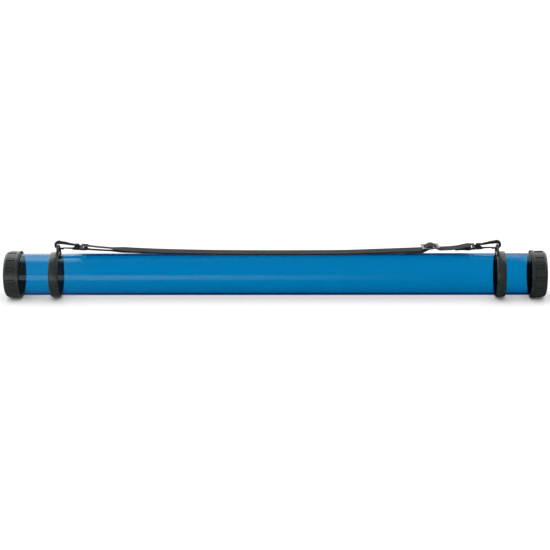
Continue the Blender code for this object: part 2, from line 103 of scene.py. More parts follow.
LINER_R = 37.9
LINER_THICK = 1.6
SLEEVE_R = 37.7
THREAD_RISE = 0.5
THREAD_PITCH = 5.0
THREAD_FADE = 3.0
THREAD_FLANK = (0.28, 0.44)
SLEEVE_IN_R = 36.8
SLEEVE_ROUND = 0.3
SLEEVE_STEPS = 56

COLLAR_R = 39.6
COLLAR_IN_R = 36.8
COLLAR_CHAMFER = 1.0
COLLAR_SIDES = 128
ARCH_R = 14.0
ARCH_BAR_R = 2.0
ARCH_FOOT_R = 2.7  # the arch thickens to this where it grows out of the collar
ARCH_TURN = (-8.0, 188.0)
ARCH_STEPS = 44

HOOK_THICK = 5.0
NOSE = ((1.3, 1.7), 7.8)
EYE = ((1.0, 0.1), 3.5)
SPINE_TOP = ((30.3, 4.6), (20.5, 6.2), (11.5, 8.1))
SPINE_UNDER = ((10.0, 3.6), (20.0, 2.6), (30.3, 1.8))
LIP = ((5.6, -6.0), (6.0, -5.6), (6.0, -4.65), (4.0, -4.65), (3.8, -2.9))
BARREL = (28.8, 37.0)
BARREL_R = 6.0
BARREL_ROUND = 0.9
BARREL_GROOVES = (31.2, 34.6)
GROOVE_SHAPE = (0.7, 0.35, 0.55)  # half widths at its top and its floor, and depth
BORE = (3.3, 31.5, 2.25)  # the head room's radius, where it ends, and the radius that the post turns in
GATE_PIVOT = (27.2, -3.0)
GATE_HALF_WIDTH = 1.9
GATE_OUTLINE = (
    (11.2, -2.3), (7.0, -2.85), (4.35, -2.85), (4.35, -4.3), (6.35, -4.35), (6.35, -6.1), (8.6, -6.1),
    (11.2, -4.1),
)
CHEEK_Y = (2.25, 4.0)
CHEEK_R = 1.9
CHEEK_CORNER = (25.7, -1.2)
TRUNNION_R = 0.8
TRUNNION_HOLE_R = 1.05
POST_R = 1.9
POST_HEAD = (29.1, 31.1, 2.95)
POST_HEAD_CHAMFER = 0.6
POST_ROOT = (0.9, 1.5, 3.4)  # how far it stands out of the loop and goes in, and its radius
LOOP = (38.3, 51.0)
LOOP_WINDOW = (43.6, 47.0)
LOOP_HALF_WIDTH = 16.3
LOOP_WINDOW_HALF_WIDTH = 13.1
LOOP_THICK = 4.0
MOULD_VOXEL = 0.34  # moulded pieces are fused at this size, which rounds their inner corners

WEB_HALF = 12.5
WEB_THICK = 1.2
WEB_STEP = 4.0
WEB_COLUMNS = 24
WEB_RIDGE = 0.05
WEB_EDGE = 0.55  # width of the rounded edge
WEB_BEND_R = 3.15
WEB_HEIGHTS = (
    (-328.0, 48.95), (-310.0, 47.2), (-290.0, 45.7), (-265.0, 44.3), (-240.0, 43.2), (-200.0, 41.6),
    (-150.0, 40.2), (-100.0, 39.3), (-50.0, 38.8), (0.0, 38.65), (60.0, 38.65), (110.0, 38.9),
    (135.0, 39.4), (160.0, 40.25), (305.0, 45.5),
)
WEB_SPREADS = (
    (-328.0, 6.3), (-310.0, 5.3), (-290.0, 4.6), (-265.0, 3.2), (-240.0, 2.3), (-200.0, 1.9), (305.0, 1.9),
)
WEB_ROLLS = ((-333.0, 0.0), (-322.0, -10.5), (-288.0, -10.5), (-260.0, 0.0))
STRAIGHT = (160.0, 305.0)
LEFT_SPLIT = -230.0
RUNNING_SPLIT = 194.0
RETURN_SPLIT = 160.0
RIGHT_TOP = ((312.0, 47.3), (320.0, 48.6), (328.0, 50.5), (333.5, 51.6))
RIGHT_TAIL = ((331.0, 46.05), (322.0, 46.3), (312.0, 45.6))

ADJUSTER_HALF = (15.0, 16.3)
ADJUSTER_WINDOW = (2.0, 11.0)
ADJUSTER_WINDOW_HALF_WIDTH = 13.1
ADJUSTER_THICK = 2.0
ADJUSTER_YAW = math.radians(4.5)
UNDER_BAR = 4.3  # the webbing beside the adjuster runs this far below its middle
OVER_BAR = (
    (-17.0, -UNDER_BAR), (-15.0, -3.9), (-11.3, -2.2), (-10.3, -1.7), (-3.2, 3.4), (-1.5, 3.75),
    (2.2, 3.75), (3.9, 3.2), (10.3, -1.7), (11.3, -2.2), (15.0, -3.9), (17.0, -UNDER_BAR),
)
STITCHED_FROM = -46.0
LOOP_UPPER_LEG = (
    (STITCHED_FROM, -5.9), (-30.0, -5.9), (-17.6, -5.9), (-15.2, -5.6), (-11.4, -3.95), (-10.0, -3.35),
    (-3.4, 1.25), (-2.0, 1.9),
)
LOOP_ROUND_BAR = (1.4, 1.9)
LOOP_LOWER_LEG = (
    (-2.2, -1.9), (-10.2, -5.15), (-11.4, -5.65), (-15.2, -7.3), (-17.6, -7.6), (-30.0, -7.6),
    (STITCHED_FROM, -7.6),
)
STITCH = (2.1, 0.7, 0.24)  # length, gap and radius of one stitch
STITCH_MARKS = (-1.0, -0.8, -0.35, 0.35, 0.8, 1.0)
STITCH_DIP = 0.16
ADJUSTER_BOX = (-42.0, -16.0, 9.5)  # start, end and half width of the sewn boxes
RIGHT_SEAM = (1.8, 9.5, 9.5)

# -------------------------------- camera and light
CAMERA_AZIMUTH = math.radians(1.76)
CAMERA_ELEVATION = math.radians(16.0)
CAMERA_ROLL = math.radians(-0.535)
CAMERA_DISTANCE = 2.771
CAMERA_LENS = 103.95
CAMERA_AIM = Vector((0.0006, 0.0, AXIS_H * MM - 0.0016))
FLOOR_HALF = 20.0
PAPER_WHITE = 0.9
PAPER_SEEN = 1.0  # the photograph is exposed until the paper is plain white


# -------------------------------- materials
def look(name):
    """A new material with an empty node tree."""
    made = bpy.data.materials.new(name)
    made.use_nodes = True
    made.node_tree.nodes.clear()
    return made, made.node_tree


def add(tree, kind, inputs=None, **settings):
    """A node whose inputs are values or the sockets that feed them."""
    node = tree.nodes.new(kind)
    for name, value in settings.items():
        setattr(node, name, value)
    for name, value in (inputs or {}).items():
        if isinstance(value, bpy.types.NodeSocket):
            tree.links.new(value, node.inputs[name])
        else:
            node.inputs[name].default_value = value
    return node


def maths(tree, operation, *values):
    return add(tree, "ShaderNodeMath", dict(enumerate(values)), operation=operation).outputs[0]


def times(tree, one, two):
    return maths(tree, "MULTIPLY", one, two)


def ease(tree, value, start, end, low=0.0, high=1.0):
    """Eases a value from low to high as it goes from start to end."""
    inputs = {"Value": value, "From Min": start, "From Max": end, "To Min": low, "To Max": high}
    return add(tree, "ShaderNodeMapRange", inputs, interpolation_type="SMOOTHSTEP").outputs[0]


def noise(tree, scale, detail=3.0, stretch=(1.0, 1.0, 1.0)):
    """Noise in the piece's own coordinates, with scale in features per metre."""
    place = add(tree, "ShaderNodeTexCoord").outputs["Object"]
    stretched = add(tree, "ShaderNodeMapping", {"Vector": place, "Scale": stretch}).outputs[0]
    inputs = {"Vector": stretched, "Scale": scale, "Detail": detail}
    return add(tree, "ShaderNodeTexNoise", inputs).outputs["Fac"]


def axes(tree, vector):
    return add(tree, "ShaderNodeSeparateXYZ", {0: vector}).outputs


def blend(tree, share, one, two):
    return add(tree, "ShaderNodeMix", {0: share, 2: one, 3: two}, data_type="FLOAT").outputs[0]


def blend_shaders(tree, share, one, two):
    return add(tree, "ShaderNodeMixShader", {0: share, 1: one.outputs[0], 2: two.outputs[0]})


def blend_colour(tree, share, one, two):
    """From one colour to the other. Each is a triple or a socket."""
    one, two = (end if isinstance(end, bpy.types.NodeSocket) else (*end, 1.0) for end in (one, two))
    return add(tree, "ShaderNodeMix", {0: share, 6: one, 7: two}, data_type="RGBA").outputs[2]


def bump(tree, height, distance, strength=1.0):
    inputs = {"Height": height, "Distance": distance, "Strength": strength}
    return add(tree, "ShaderNodeBump", inputs).outputs[0]


def surface(tree, shader):
    tree.links.new(shader.outputs[0], add(tree, "ShaderNodeOutputMaterial").inputs["Surface"])


CLEAR_FACE = (0.08, 0.652, 0.808)  # what one surface of the tube's wall lets through, seen square on
CLEAR_EDGE = (0.06, 0.61, 0.775)  # and near the tube's outline, where light goes a long way in the wall
CLEAR_RIM = (0.06, 0.27, 0.60)  # and at the very outline, where it runs along inside the wall
CLEAR_LAMPS = (0.88, 0.878, 0.89)  # what it lets through to the floor
CLEAR_MIRROR = 0.04  # what it reflects, seen square on
WEB_DARK = (0.011, 0.012, 0.0115)
WEB_PALE = (0.045, 0.049, 0.046)
WEAVE_CORD = 1.04  # width of a warp cord and length of its float, in mm
WEAVE_FLOAT = 1.9


def clear_blue():
    """Clear tinted tube wall: Fresnel gloss over what shows through, darker towards its outline."""
    made, tree = look("clear_blue_plastic")
    facing = add(tree, "ShaderNodeLayerWeight", {"Blend": 0.5}).outputs["Facing"]
    mirror = maths(tree, "MULTIPLY_ADD", maths(tree, "POWER", facing, 5.0), 1.0 - CLEAR_MIRROR, CLEAR_MIRROR)
    tint = blend_colour(tree, ease(tree, facing, 0.05, 0.75), CLEAR_FACE, CLEAR_EDGE)
    tint = blend_colour(tree, ease(tree, facing, 0.56, 0.8), tint, CLEAR_RIM)
    ripple = noise(tree, 36.0, 2.0, (0.008, 1.0, 1.0))
    scuffs = noise(tree, 900.0, 4.0, (0.15, 1.0, 1.0))
    clear = add(tree, "ShaderNodeBsdfTransparent", {"Color": tint})
    gloss_inputs = {
        "Roughness": ease(tree, scuffs, 0.3, 0.8, 0.03, 0.09),
        "Normal": bump(tree, ripple, 0.0006, 0.15),
    }
    gloss = add(tree, "ShaderNodeBsdfGlossy", gloss_inputs)
    wall = blend_shaders(tree, mirror, clear, gloss)
    to_lamps = add(tree, "ShaderNodeBsdfTransparent", {"Color": (*CLEAR_LAMPS, 1.0)})
    path = add(tree, "ShaderNodeLightPath").outputs
    lamp = maths(tree, "MAXIMUM", path["Is Shadow Ray"], path["Is Diffuse Ray"])
    surface(tree, blend_shaders(tree, lamp, wall, to_lamps))
    return made


def black_plastic(name, dark, pale, roughness, grain, gloss):
    """Moulded plastic: faint cloudiness, a little dust on top, a fine moulded grain and rubbed patches."""
    made, tree = look(name)
    cloud = noise(tree, 60.0, 4.0)
    normal = add(tree, "ShaderNodeNewGeometry").outputs["Normal"]
    upward = ease(tree, axes(tree, normal)[2], 0.3, 1.0)
    dust = times(tree, upward, ease(tree, noise(tree, 350.0, 6.0), 0.4, 0.8))
    share = maths(tree, "MULTIPLY_ADD", dust, 0.12, times(tree, cloud, 0.5))
    inputs = {
        "Base Color": blend_colour(tree, share, dark, pale),
        "Roughness": ease(tree, noise(tree, 130.0, 5.0), 0.35, 0.7, roughness - 0.03, roughness + 0.05),
        "Normal": bump(tree, noise(tree, 2600.0, 2.0), 0.00006, grain),
        "Specular IOR Level": gloss,
    }
    surface(tree, add(tree, "ShaderNodeBsdfPrincipled", inputs))
    return made


def webbing_look():
    """Woven polypropylene: staggered warp cords over crosswise ribs, laid out by the strap's own UV map."""
    made, tree = look("webbing")
    place = add(tree, "ShaderNodeUVMap", uv_map="weave").outputs[0]
    split = axes(tree, place)
    column = maths(tree, "DIVIDE", split[0], WEAVE_CORD)
    odd = maths(tree, "MODULO", maths(tree, "FLOOR", column), 2.0)
    row = maths(tree, "MULTIPLY_ADD", odd, 0.5, maths(tree, "DIVIDE", split[1], WEAVE_FLOAT))
    cord = maths(tree, "ABSOLUTE", maths(tree, "SINE", times(tree, column, math.pi)))
    float_over = maths(tree, "ABSOLUTE", maths(tree, "SINE", times(tree, row, math.pi)))
    height = times(tree, maths(tree, "POWER", cord, 0.6), maths(tree, "POWER", float_over, 0.5))
    fibre = noise(tree, 5200.0, 2.0, (0.2, 1.0, 1.0))
    patchy = noise(tree, 45.0, 3.0)
    # painted shade: the weave's dips are coloured darker and its raised cords paler; the fibre noise and
    # patchiness are the webbing's own tone
    painted_dip_shade_and_fibre = maths(tree, "MULTIPLY_ADD", height, 0.55, times(tree, fibre, 0.25))
    colour = blend_colour(tree, maths(tree, "MULTIPLY_ADD", patchy, 0.25, painted_dip_shade_and_fibre), WEB_DARK, WEB_PALE)
    woven = maths(tree, "MULTIPLY_ADD", fibre, 0.2, height)
    inputs = {
        "Base Color": colour,
        "Roughness": ease(tree, fibre, 0.2, 0.8, 0.62, 0.85),
        "Normal": bump(tree, woven, 0.00022, 0.9),
        "Specular IOR Level": 0.15,
    }
    surface(tree, add(tree, "ShaderNodeBsdfPrincipled", inputs))
    return made


def thread_look():
    made, tree = look("stitching_thread")
    twist = noise(tree, 4200.0, 2.0)
    inputs = {
        "Base Color": blend_colour(tree, twist, (0.035, 0.038, 0.036), (0.11, 0.115, 0.11)),
        "Roughness": 0.55,
        "Normal": bump(tree, twist, 0.0001, 0.8),
    }
    surface(tree, add(tree, "ShaderNodeBsdfPrincipled", inputs))
    return made


def nickel_look():
    """Nickel plate: brushed lengthwise, a little tarnish and fine scratches."""
    made, tree = look("nickel_plate")
    brushed = noise(tree, 1500.0, 4.0, (0.1, 1.0, 1.0))
    tarnish = ease(tree, noise(tree, 160.0, 4.0), 0.35, 0.8)
    inputs = {
        "Base Color": blend_colour(tree, tarnish, (0.37, 0.37, 0.365), (0.25, 0.247, 0.24)),
        "Metallic": 1.0,
        "Roughness": ease(tree, brushed, 0.25, 0.8, 0.28, 0.5),
        "Normal": bump(tree, brushed, 0.00004, 0.6),
    }
    surface(tree, add(tree, "ShaderNodeBsdfPrincipled", inputs))
    return made


def foam_look():
    """Closed-cell foam of the cap's liner."""
    made, tree = look("liner_foam")
    place = add(tree, "ShaderNodeTexCoord").outputs["Object"]
    cells = add(tree, "ShaderNodeTexVoronoi", {"Vector": place, "Scale": 1100.0}).outputs["Distance"]
    inputs = {
        "Base Color": blend_colour(tree, noise(tree, 220.0, 4.0), (0.2, 0.2, 0.195), (0.34, 0.34, 0.33)),
        "Roughness": 0.95,
        "Normal": bump(tree, cells, 0.0003, 0.7),
    }
    surface(tree, add(tree, "ShaderNodeBsdfPrincipled", inputs))
    return made


CLEAR = clear_blue()
BLACK = black_plastic("black_moulding", (0.017, 0.023, 0.021), (0.030, 0.037, 0.034), 0.27, 0.03, 0.55)
HOOK_BLACK = black_plastic("hook_plastic", (0.011, 0.012, 0.012), (0.024, 0.026, 0.026), 0.42, 0.12, 0.12)
WEBBING = webbing_look()
THREAD = thread_look()
NICKEL = nickel_look()
FOAM = foam_look()


# -------------------------------- shapes
def arc(centre, radius, start, end, steps):
    """Points on an arc, with angles in degrees."""
    angles = [math.radians(start + (end - start) * i / steps) for i in range(steps + 1)]
    return [(centre[0] + radius * math.cos(a), centre[1] + radius * math.sin(a)) for a in angles]


def step_up(value, start, end):
    """0 before start, 1 after end, smooth between."""
    t = min(max((value - start) / (end - start), 0.0), 1.0)
    return t * t * (3.0 - 2.0 * t)


def to_object(bm, name, material, place=None, sharp=35.0):
    """Turns a bmesh in millimetres into an object in metres, moved by a matrix in millimetres."""
    bmesh.ops.recalc_face_normals(bm, faces=bm.faces)
    if place is not None:
        bm.transform(place)
    bm.transform(Matrix.Scale(MM, 4))
    mesh = bpy.data.meshes.new(name)
    bm.to_mesh(mesh)
    bm.free()
    mesh.shade_smooth()
    mesh.set_sharp_from_angle(angle=math.radians(sharp))
    mesh.materials.append(material)
    piece = bpy.data.objects.new(name, mesh)
    bpy.context.scene.collection.objects.link(piece)
    return piece


def skin(rings, closed_along=False, capped=False):
    """Faces between rings of points. A ring of one point closes the shape there."""
    bm = bmesh.new()
    made = [[bm.verts.new(point) for point in ring] for ring in rings]
    pairs = list(zip(made, made[1:]))
    if closed_along:
        pairs.append((made[-1], made[0]))
    for one, two in pairs:
        for k in range(max(len(one), len(two))):
            corners = [one[k % len(one)], one[(k + 1) % len(one)], two[(k + 1) % len(two)], two[k % len(two)]]
            bm.faces.new(list(dict.fromkeys(corners)))
    if capped:
        bm.faces.new(made[0])
        bm.faces.new(reversed(made[-1]))
    return bm


def turned(profile, angles, closed=True, shape=None, height=None):
    """Turns (x, radius) points about the tube's axis. shape(x, radius, angle) may raise ribs or a thread."""
    height = AXIS_H if height is None else height
    rings = []
    for x, radius in profile:
        ring = []
        for a in angles if radius else angles[:1]:
            r = shape(x, radius, a) if shape else radius
            ring.append((x, r * math.cos(a), height + r * math.sin(a)))
        rings.append(ring)
    return skin(rings, closed_along=closed)


def even_angles(sides):
    return [2.0 * math.pi * (k + 0.5) / sides for k in range(sides)]


def prism(outline, low, high):
    """Extrudes an outline of (x, z) points from y = low to y = high."""
    return skin([[(x, low, z) for x, z in outline], [(x, high, z) for x, z in outline]], capped=True)


def block(low, high):
    bm = bmesh.new()
    size, middle = Vector(high) - Vector(low), (Vector(high) + Vector(low)) / 2
    bmesh.ops.create_cube(bm, size=1.0, matrix=Matrix.Translation(middle) @ Matrix.Diagonal((*size, 1.0)))
    return bm


def settle(piece):
    """Applies a piece's modifiers, keeping its name, material and smooth shading."""
    bpy.context.view_layer.update()
    evaluated = piece.evaluated_get(bpy.context.evaluated_depsgraph_get())
    mesh = bpy.data.meshes.new_from_object(evaluated)
    piece.modifiers.clear()
    old, piece.data = piece.data, mesh
    bpy.data.meshes.remove(old)


def combine(piece, others, operation):
    """Joins the other shapes to the piece, or cuts them out."""
    for other in others:
        step = piece.modifiers.new(operation.lower(), "BOOLEAN")
        step.operation = operation
        step.solver = "EXACT"
        step.object = other
    settle(piece)
    for other in others:
        bpy.data.objects.remove(other)


def mould(piece, voxel=MOULD_VOXEL, rounds=4):
    """Fuses a sharp shape into one skin with soft corners, as a moulding has."""
    fuse = piece.modifiers.new("fuse", "REMESH")
    fuse.mode = "VOXEL"
    fuse.voxel_size = voxel * MM
    soften = piece.modifiers.new("soften", "SMOOTH")
    soften.factor = 0.5
    soften.iterations = rounds
    material = piece.data.materials[0]
    settle(piece)
    piece.data.materials.clear()
    piece.data.materials.append(material)
    piece.data.shade_smooth()


def bevel(piece, width, segments=3):
    step = piece.modifiers.new("bevel", "BEVEL")
    step.width = width * MM
    step.segments = segments
    step.limit_method = "ANGLE"
    step.angle_limit = math.radians(35.0)
    settle(piece)


def place_piece(piece, body, slot, *nodes):
    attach(piece, body)
    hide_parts(*nodes)


# -------------------------------- tube, caps and collars
def make_tube():
    """The clear tube, with its cut ends rounded over."""
    inner = TUBE_R - TUBE_WALL
    profile = []
    for sign in (-1.0, 1.0):
        # the extra ring beside each lip keeps the shading of the long wall straight
        lip, ring = TUBE_END - TUBE_LIP, TUBE_END - 2.0 * TUBE_LIP
        corners = [(ring, inner), *arc((lip, inner + TUBE_LIP), TUBE_LIP, -90.0, 0.0, 3)]
        corners += [*arc((lip, TUBE_R - TUBE_LIP), TUBE_LIP, 0.0, 90.0, 3), (ring, TUBE_R)]
        profile += [(sign * x, r) for x, r in (corners if sign < 0 else reversed(corners))]
    piece = to_object(turned(profile, even_angles(TUBE_SIDES)), "tube_shell", CLEAR)
    place_piece(piece, "root", "clear_blue_plastic", "tube")


def cap_angles(sign):
    """Angles round a cap, close together at the sides of each rib."""
    half, edge, groove = (size / CAP_SKIRT_R for size in (RIB_HALF, RIB_EDGE, RIB_GROOVE[0]))
    side = [half + share * groove for share in (1.0, 0.75, 0.5, 0.25, 0.0)]
    side += [half - share * edge for share in (0.5, 1.0)]
    offsets = [-a for a in side] + [-0.4 * half, 0.0, 0.4 * half] + side[::-1]
    sector = 2.0 * math.pi / RIB_COUNT
    gap = sector - 2.0 * offsets[-1]
    offsets += [offsets[-1] + gap * i / FACE_STEPS for i in range(1, FACE_STEPS)]
    return [sector * k - sign * RIB_TURN + offset for k in range(RIB_COUNT) for offset in offsets]


def rib_shape(sign):
    """Raises the skirt into flat-topped ribs between two places along it, with a groove along each side."""
    sector = 2.0 * math.pi / RIB_COUNT
    start, end = RIB_SPAN
    width, depth = RIB_GROOVE

    def shape(x, radius, angle):
        if abs(radius - CAP_SKIRT_R) > 0.01:
            return radius
        along = abs(x)
        off = abs(((angle + sign * RIB_TURN) / sector + 0.5) % 1.0 - 0.5) * sector
        from_centre = off * radius
        lengthwise = step_up(along, start - 0.01, start + RIB_EDGE)
        lengthwise *= 1.0 - step_up(along, end - RIB_EDGE, end + 0.01)
        across = 1.0 - step_up(from_centre, RIB_HALF - RIB_EDGE, RIB_HALF)
        dip = max(0.0, 1.0 - abs(from_centre - RIB_HALF - 0.4 * width) / (0.6 * width)) * (1.0 - across)
        top = RIB_TOP_R / math.cos(min(off, RIB_HALF / radius))
        return radius + lengthwise * (across * (top - radius) - dip * depth)

    return shape


def make_cap(side):
    """A screw cap: ringed end face, round corner, ribbed skirt and the bead at its mouth."""
    sign = SIDES[side]
    groove_in, groove_out, depth = CAP_GROOVE
    face = [(CAP_END, 0.0), (CAP_END, groove_in - 0.3), (CAP_END - depth, groove_in)]
    face += [(CAP_END - depth, groove_out), (CAP_END, groove_out + 0.3), (CAP_END, CAP_FACE_R - 2.0)]
    corner = [
        (CAP_END - CAP_CORNER_X * (1.0 - u), CAP_FACE_R + (CAP_SKIRT_R - CAP_FACE_R) * v)
        for u, v in arc((0.0, 0.0), 1.0, 0.0, 90.0, 10)
    ]
    start, end = RIB_SPAN
    marks = [end + 0.1, end, end - 0.5 * RIB_EDGE, end - RIB_EDGE, 0.5 * (start + end)]
    marks += [start + RIB_EDGE, start + 0.5 * RIB_EDGE, start, start - 0.1]
    skirt = [(x, CAP_SKIRT_R) for x in marks if x < CAP_END - CAP_CORNER_X]
    rim_end = CAP_MOUTH + RIM_WIDTH
    rim = arc((rim_end - RIM_ROUND, RIM_R - RIM_ROUND), RIM_ROUND, 0.0, 90.0, 4)
    rim += arc((CAP_MOUTH + RIM_ROUND, RIM_R - RIM_ROUND), RIM_ROUND, 90.0, 180.0, 4)
    mouth = [(CAP_MOUTH, CAP_BORE_R + 0.5), (CAP_MOUTH + 0.5, CAP_BORE_R)]
    plate = CAP_END - CAP_PLATE
    inside = [(plate - CAP_INNER_CORNER, CAP_BORE_R), (plate, CAP_BORE_R - CAP_INNER_CORNER), (plate, 0.0)]
    profile = [*face, *corner, *skirt, (rim_end + 0.15, CAP_SKIRT_R + 0.005), *rim, *mouth, *inside]
    bm = turned([(sign * x, r) for x, r in profile], cap_angles(sign), closed=False, shape=rib_shape(sign))
    place_piece(to_object(bm, f"{side}_cap_shell", BLACK), f"{side}_cap", "black_moulding", f"{side}_cap")


def make_liner(side):
    """The foam disc in the cap, with the ring that the tube's end presses in it."""
    sign = SIDES[side]
    outer = CAP_END - CAP_PLATE - GAP
    inner = outer - LINER_THICK
    ring = TUBE_R - 0.5 * TUBE_WALL
    profile = [
        (outer, 0.0), (outer, LINER_R - 0.3), (outer - 0.3, LINER_R), (inner + 0.3, LINER_R),
        (inner, LINER_R - 0.3), (inner, ring + 1.4), (inner + 0.35, ring + 0.7),
        (inner + 0.35, ring - 0.7), (inner, ring - 1.4), (inner, 0.0),
    ]
    bm = turned([(sign * x, r) for x, r in profile], even_angles(128), closed=False)
    place_piece(to_object(bm, f"{side}_foam_liner", FOAM), f"{side}_liner", "liner_foam", f"{side}_cap_liner")


def make_sleeve(side):
    """The threaded sleeve round the tube's end: one helical ridge that fades at both ends."""
    sign = SIDES[side]
    start, end = sorted(abs(x) for x in span(f"{side}_thread_sleeve", 0))
    outer = [(start + (end - start) * i / SLEEVE_STEPS, SLEEVE_R) for i in range(1, SLEEVE_STEPS)]
    edge = SLEEVE_R - SLEEVE_ROUND
    profile = [(start, SLEEVE_IN_R), (start, edge), *outer, (end, edge), (end, SLEEVE_IN_R)]

    def thread(x, radius, angle):
        if radius != SLEEVE_R:
            return radius
        along = abs(x) - start
        turn = (along / THREAD_PITCH - angle / (2.0 * math.pi)) % 1.0
        ridge = step_up(0.5 - abs(turn - 0.5), *THREAD_FLANK)
        fade = step_up(along, 1.0, 1.0 + THREAD_FADE)
        fade *= 1.0 - step_up(along, end - start - THREAD_FADE, end - start - 0.5)
        return radius + THREAD_RISE * ridge * fade

    bm = turned([(sign * x, r) for x, r in profile], even_angles(120), shape=thread)
    piece = to_object(bm, f"{side}_threaded_end", BLACK)
    place_piece(piece, "root", "black_moulding", f"{side}_thread_sleeve")


def make_collar(side):
    """A collar round the tube, grown together with the arch that its hook clips to."""
    low, high = span(f"{side}_strap_collar", 0)
    seat = Vector(JOINTS[f"{side}_hook_swing"]["pos_m"]) / MM
    edge = COLLAR_CHAMFER
    profile = [
        (low, COLLAR_IN_R), (low, COLLAR_R - edge - 0.2), (low + 0.1, COLLAR_R - edge),
        (low + edge - 0.1, COLLAR_R - 0.1), (low + edge + 0.15, COLLAR_R), (high - edge - 0.15, COLLAR_R),
        (high - edge + 0.1, COLLAR_R - 0.1), (high - 0.1, COLLAR_R - edge), (high, COLLAR_R - edge - 0.2),
        (high, COLLAR_IN_R),
    ]
    collar = to_object(turned(profile, even_angles(COLLAR_SIDES)), f"{side}_collar_moulding", BLACK)
    centre = seat - Vector((0.0, 0.0, ARCH_R))
    rings = []
    for k in range(ARCH_STEPS + 1):
        degrees = ARCH_TURN[0] + (ARCH_TURN[1] - ARCH_TURN[0]) * k / ARCH_STEPS
        out = Vector((0.0, math.cos(math.radians(degrees)), math.sin(math.radians(degrees))))
        foot = 1.0 - step_up(min(degrees, 180.0 - degrees), 2.0, 30.0)
        radius = ARCH_BAR_R + (ARCH_FOOT_R - ARCH_BAR_R) * foot
        bar = arc((0.0, 0.0), radius, 0.0, 360.0, 20)[:-1]
        rings.append([centre + out * (ARCH_R + v) + Vector((u, 0.0, 0.0)) for u, v in bar])
    arch = to_object(skin(rings, capped=True), f"{side}_arch", BLACK)
    combine(collar, [arch], "UNION")
    collar.data.set_sharp_from_angle(angle=math.radians(35.0))
    place_piece(collar, "root", "black_moulding", f"{side}_strap_collar")


# -------------------------------- hooks
def hook_place(side):
    """The hook's own frame, in millimetres: at the arch's top bar, with x running inboard along the hook."""
    seat = Vector(JOINTS[f"{side}_hook_swing"]["pos_m"]) / MM
    along = Vector(JOINTS[f"{side}_hook_swivel"]["axis"]).normalized()
    if along.x * SIDES[side] > 0.0:
        along = -along
    across = Vector((0.0, 0.0, 1.0)).cross(along).normalized()
    turn = Matrix((along, across, along.cross(across))).transposed().to_4x4()
    return Matrix.Translation(seat) @ turn


def round_bar(profile, sides=40):
    """A turned shape on the hook's own axis."""
    return turned(profile, even_angles(sides), closed=False, height=0.0)


def make_hook(side):
    """The hook: curled nose, spine, gate cheeks and the grooved barrel that the strap loop turns in."""
    place = hook_place(side)
    half = 0.5 * HOOK_THICK

    def shape(bm, name):
        return to_object(bm, f"{side}_{name}", HOOK_BLACK, place)

    outline = [*SPINE_TOP, *arc(*NOSE, 62.0, 280.0, 40), *LIP, *arc(*EYE, -62.0, -270.0, 28), *SPINE_UNDER]
    hook = shape(prism(outline, -half, half), "hook_moulding")
    bevel(hook, 1.1)
    low, high = BARREL
    wide, narrow, depth = GROOVE_SHAPE
    grooves = []
    for middle in BARREL_GROOVES:
        grooves += [(middle - wide, BARREL_R), (middle - narrow, BARREL_R - depth)]
        grooves += [(middle + narrow, BARREL_R - depth), (middle + wide, BARREL_R)]
    barrel = [
        (low, 0.0), (low, BARREL_R - BARREL_ROUND), (low + BARREL_ROUND, BARREL_R), *grooves,
        (high - BARREL_ROUND, BARREL_R), (high, BARREL_R - BARREL_ROUND), (high, 0.0),
    ]
    parts = [shape(round_bar(barrel), "barrel")]
    root = low + 1.0
    cheek = [(root, CHEEK_CORNER[1]), CHEEK_CORNER, *arc(GATE_PIVOT, CHEEK_R, 150.0, 270.0, 10)]
    cheek.append((root, GATE_PIVOT[1] - CHEEK_R))
    for sign in (-1.0, 1.0):
        near, far = sorted((sign * CHEEK_Y[0], sign * CHEEK_Y[1]))
        parts.append(shape(prism(cheek, near, far), "cheek"))
    combine(hook, parts, "UNION")
    head_room, shoulder, hole_r = BORE
    bore = [
        (low - 1.0, 0.0), (low - 1.0, head_room), (shoulder, head_room), (shoulder, hole_r),
        (high + 1.0, hole_r), (high + 1.0, 0.0),
    ]
    hole = arc(GATE_PIVOT, TRUNNION_HOLE_R, 0.0, 345.0, 23)
    combine(hook, [shape(round_bar(bore), "bore"), shape(prism(hole, -CUT, CUT), "pin_hole")], "DIFFERENCE")
    mould(hook)
    place_piece(hook, f"{side}_hook", "hook_plastic", f"{side}_hook_body")


def make_gate(side):
    """The sprung gate, with its thumb ridge and the two trunnions that it turns on."""
    place = hook_place(side)
    outline = [*arc(GATE_PIVOT, 1.35, -110.0, 110.0, 12), *GATE_OUTLINE]
    plate = prism(outline, -GATE_HALF_WIDTH, GATE_HALF_WIDTH)
    gate = to_object(plate, f"{side}_gate_moulding", HOOK_BLACK, place)
    reach = CHEEK_Y[1] - 0.2
    pin = prism(arc(GATE_PIVOT, TRUNNION_R, 0.0, 345.0, 23), -reach, reach)
    combine(gate, [to_object(pin, f"{side}_pin", HOOK_BLACK, place)], "UNION")
    mould(gate, voxel=0.24, rounds=3)
    place_piece(gate, f"{side}_gate", "hook_plastic", f"{side}_hook_gate")


